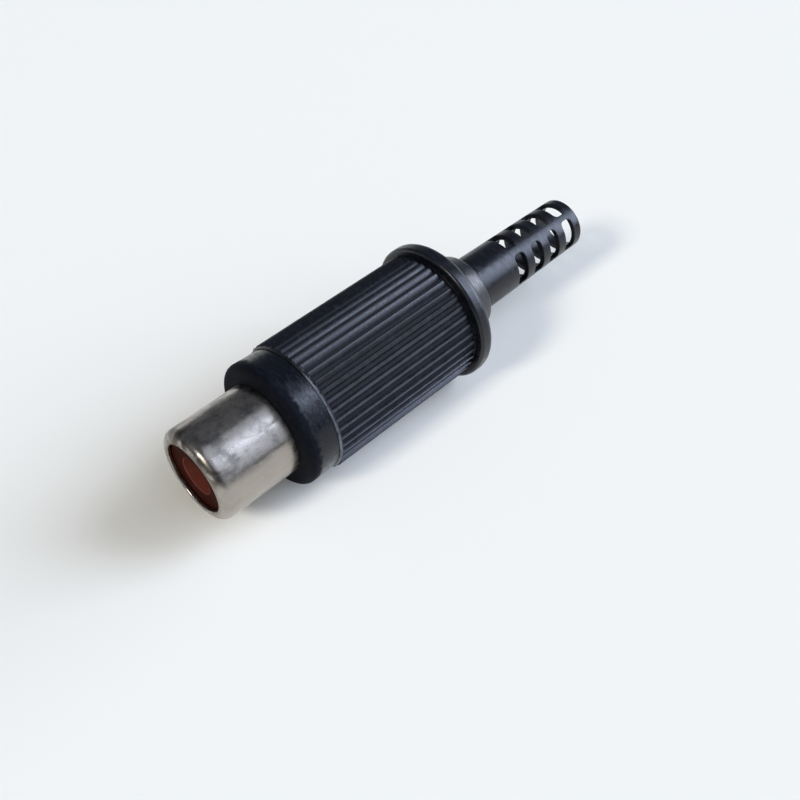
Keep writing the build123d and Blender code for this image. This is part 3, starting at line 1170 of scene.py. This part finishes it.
    def build(self) -> Piece:
        """Builds the moulding as one welded skin, from the front face over the outside to the bore and back.

        Returns:
            The cover's object.
        """
        skin = Skin()
        across, loop = self.cell_border()
        outer_turn = (self.slot_turn[:, None] + across[:-1] * self.cell_half).ravel()
        inner_turn, reach = self.bore_columns(loop)
        sleeve, rib_turn = self.sleeve_points()
        skin.add_grid(sleeve, round_columns=True)
        outer = self.outside_points(outer_turn)
        skin.add_grid(outer, round_columns=True)
        skin.add_seam(sleeve[-1], outer[0], rib_turn, outer_turn)
        self.add_slots(skin, loop)
        self.add_end(skin, outer_turn, inner_turn, reach)
        for x, following in zip(self.slot_x[:-1], self.slot_x[1:]):
            edges = np.stack([x + reach, following - reach])
            skin.add_grid(round_axis(edges, self.cable_radius, inner_turn), round_columns=True)
        inner = self.inside_points(inner_turn, reach)
        skin.add_grid(inner, round_columns=True)
        skin.add_seam(inner[-1], sleeve[0], inner_turn, rib_turn)
        return skin.build("ribbed_cover")

    def dress(self, piece: Piece) -> Piece:
        """Gives the cover its plastic."""
        return settle(piece, Node.COVER, self.finish.material())


@dataclass
class KeptSolid:
    """A CAD node whose shape is right, and that gets a better material."""

    node: Node
    finish: StampedBrass

    def dress(self) -> Piece:
        """Puts the finish on the node's own object.

        Returns:
            The node's object.
        """
        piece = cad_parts[self.node.value]
        piece.data.materials.clear()
        piece.data.materials.append(self.finish.material())
        return piece


@dataclass(frozen=True)
class Lamp:
    """A soft lamp with a flat front that shines at the part from one side."""

    name: str
    azimuth: float           # degrees from +X towards +Y
    elevation: float
    distance: float          # metres, as are the next two
    width: float
    height: float
    radiance: float
    colour: str

    def place(self, aim: Vector) -> None:
        """Hangs the lamp and points it at the aim; its power is its radiance times pi times its area.

        Args:
            aim: the point that it shines at, in metres.
        """
        turn, lift = math.radians(self.azimuth), math.radians(self.elevation)
        way = Vector((math.cos(turn) * math.cos(lift), math.sin(turn) * math.cos(lift), math.sin(lift)))
        light = bpy.data.lights.new(self.name, "AREA")
        light.shape = "RECTANGLE"
        light.size = self.width
        light.size_y = self.height
        light.energy = self.radiance * math.pi * self.width * self.height
        light.color = linear(self.colour)[:3]
        lamp = bpy.data.objects.new(self.name, light)
        lamp.location = aim + way * self.distance
        lamp.rotation_euler = (-way).to_track_quat("-Z", "Y").to_euler()
        bpy.context.scene.collection.objects.link(lamp)


@dataclass
class Studio:
    """Pale table, dim room, soft lamps and the camera at the photograph's angle."""

    lamps: tuple[Lamp, ...]
    camera_mm: Size = (-29.17, -44.98, 62.75)
    aim_mm: Size = (9.934, -5.242, -0.252)
    lens_mm: float = 45.93
    sensor_mm: float = 36.0
    nearest_m: float = 0.001     # the camera sees nothing closer
    floor_half_m: float = 0.9
    floor_colour: str = "#fcf7e9"
    floor_cloud_mm: Size = (40.0, 40.0, 40.0)
    floor_dull: Span = (0.85, 0.95)
    room_colour: str = "#5e636b"

    def build(self) -> None:
        """Sets up the table, the room's light, the lamps and the camera."""
        scene = bpy.context.scene
        scene.view_settings.view_transform = "Standard"
        self._floor()
        world = bpy.data.worlds.new("dim_room")
        world.use_nodes = True
        tree = world.node_tree
        tree.nodes.clear()
        background = add_node(tree, "ShaderNodeBackground", inputs={"Color": linear(self.room_colour)})
        add_node(tree, "ShaderNodeOutputWorld", inputs={"Surface": background.outputs["Background"]})
        scene.world = world
        middle = (CAD_BOX[0] + CAD_BOX[1]) / 2.0
        for lamp in self.lamps:
            lamp.place(middle)
        self._camera()

    def _camera(self) -> None:
        """Puts the camera where the photograph was taken from."""
        data = bpy.data.cameras.new("camera")
        data.sensor_width = self.sensor_mm
        data.lens = self.lens_mm
        data.clip_start = self.nearest_m
        camera = bpy.data.objects.new("camera", data)
        camera.location = Vector(self.camera_mm) * MM
        way = Vector(self.aim_mm) * MM - camera.location
        camera.rotation_euler = way.to_track_quat("-Z", "Y").to_euler()
        bpy.context.scene.collection.objects.link(camera)
        bpy.context.scene.camera = camera

    def _floor(self) -> None:
        """Lays a pale table under the part, painted matt: an even white with no reflections."""
        level, half = CAD_BOX[0].z, self.floor_half_m
        mesh = bpy.data.meshes.new("table")
        corners = [(-half, -half, level), (half, -half, level), (half, half, level), (-half, half, level)]
        mesh.from_pydata(corners, [], [(0, 1, 2, 3)])
        table = bpy.data.objects.new("table", mesh)
        bpy.context.scene.collection.objects.link(table)
        material, tree, _, (cloud,) = start_material("matt_white_table", Pattern(self.floor_cloud_mm))
        dullness = add_node(tree, "ShaderNodeMapRange", inputs={
            "Value": cloud, "To Min": self.floor_dull[0], "To Max": self.floor_dull[1]}).outputs["Result"]
        shader = add_node(tree, "ShaderNodeBsdfPrincipled", inputs={
            "Base Color": linear(self.floor_colour), "Roughness": dullness, "Specular IOR Level": 0.0})
        add_node(tree, "ShaderNodeOutputMaterial", inputs={"Surface": shader.outputs["BSDF"]})
        mesh.materials.append(material)


def report(piece: Piece) -> None:
    """Logs a piece's name and how many faces it has."""
    LOG.info("%s: %d faces", piece.name, len(piece.data.polygons))


def main() -> None:
    """Builds the socket's pieces in order, then the studio."""
    logging.basicConfig(level=logging.INFO, format="%(name)s %(message)s")
    # Pressed phenolic: a dull red-brown with painted shade on its face, and lighter in the hole as painted
    # light on its wall.
    insert_plastic = MouldedPlastic(
        "insert_phenolic_red_brown", colour="#7d4136", worn="#8d5447", smooth=0.45, dull=0.6, sheen=0.01,
        face_shade_radii=(1.66, 1.76))
    # ABS from a polished mould: black with clear highlights broken by scuffs, and a matt front face.
    collar_plastic = MouldedPlastic(
        "collar_abs_gloss_black", colour="#0c0f16", worn="#191d26", smooth=0.14, dull=0.4, sheen=0.26,
        scuff_mm=(0.5, 0.5, 0.5), streak_mm=(0.22, 0.7, 0.7), grain_mm=(0.22, 0.22, 0.22), grain_depth=0.014,
        matt_to=1.0)
    # ABS from a satin mould: black with soft highlights, painted sheen on the ribs and a painted highlight on
    # the rim.
    cover_plastic = MouldedPlastic(
        "cover_abs_satin_black", colour="#0c0e15", worn="#20242f", smooth=0.26, dull=0.42, sheen=0.37,
        grain_depth=0.011, rim_highlight_to=3.07, ribs_to=18.4)
    assemblies = (Barrel(NickelPlate()), Insert(insert_plastic), Collar(collar_plastic), Cover(cover_plastic))
    for assembly in assemblies:
        report(assembly.dress(assembly.build()))
    kept = (
        KeptSolid(Node.CONTACT, StampedBrass("contact_brass_bare", colour="#c9a55e", spot="#8d6f3c")),
        KeptSolid(Node.TAG, StampedBrass("tag_brass_tinned", colour="#b9b6ae", spot="#8f8b82")),
    )
    for solid in kept:
        report(solid.dress())
    Studio(lamps=(
        Lamp("key_front", azimuth=-178.0, elevation=40.0, distance=4.4,
             width=0.88, height=0.88, radiance=36.0, colour="#fffcf8"),
        Lamp("window_near", azimuth=-64.0, elevation=48.0, distance=4.0,
             width=4.0, height=6.4, radiance=0.8, colour="#dce8ff"),
        Lamp("window_far", azimuth=-34.0, elevation=32.0, distance=4.0,
             width=1.92, height=3.36, radiance=7.8, colour="#d5e3ff"),
        Lamp("window_low", azimuth=-8.0, elevation=11.0, distance=4.0,
             width=1.76, height=1.28, radiance=9.0, colour="#e4ecff"),
    )).build()


if __name__ == "__main__":
    main()
